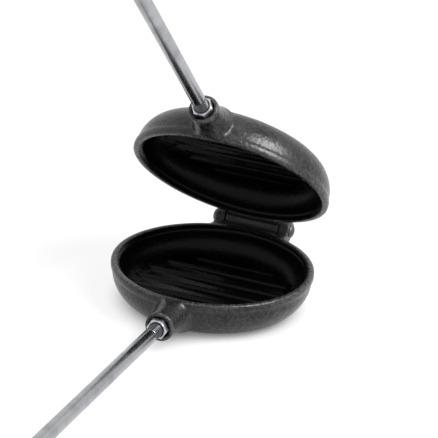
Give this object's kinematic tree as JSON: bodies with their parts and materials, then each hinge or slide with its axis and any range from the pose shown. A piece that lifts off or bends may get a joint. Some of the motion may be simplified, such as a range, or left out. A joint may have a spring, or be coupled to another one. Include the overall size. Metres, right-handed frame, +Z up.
{
  "type": "cast iron sandwich broiler",
  "caption": "Two shallow round cast iron halves with ribbed cooking faces, hinged at the back, each on a long steel rod with a turned wooden grip.",
  "frame": {"origin": "centre of the flat outside face of the lower pan, which it rests on", "axes": "+Z up out of the lower pan, +Y towards the hinge, both handles towards -Y, +X along the hinge pin"},
  "size_m": [0.115, 0.7343, 0.5313],
  "materials": {
    "cast_iron": "seasoned sand casting, dull sheen",
    "plated_rod": "bright plated drawn rod",
    "zinc_steel": "bright zinc plate",
    "ferrule_steel": "drawn and plated steel",
    "hinge_steel": "darkened steel rivet",
    "turned_hardwood": "turned and lacquered"
  },
  "bodies": {
    "lower_half": {"lower_pan": "cast_iron", "hinge_pin": "hinge_steel", "lower_rod": "plated_rod", "lower_lock_nut": "zinc_steel", "lower_stop_collar": "ferrule_steel", "lower_ferrule": "ferrule_steel", "lower_grip": "turned_hardwood", "lower_end_washer": "zinc_steel", "lower_cap_nut": "zinc_steel"},
    "upper_half": {"lid": "cast_iron", "upper_rod": "plated_rod", "upper_lock_nut": "zinc_steel", "upper_stop_collar": "ferrule_steel", "upper_ferrule": "ferrule_steel", "upper_grip": "turned_hardwood", "upper_end_washer": "zinc_steel", "upper_cap_nut": "zinc_steel"}
  },
  "joints": [
    {"name": "lid_hinge", "type": "hinge", "parent": "lower_half", "child": "upper_half", "pos_m": [0, 0.0641, 0.0235], "axis": [-1, 0, 0], "range_deg": [-43, 137]}
  ]
}
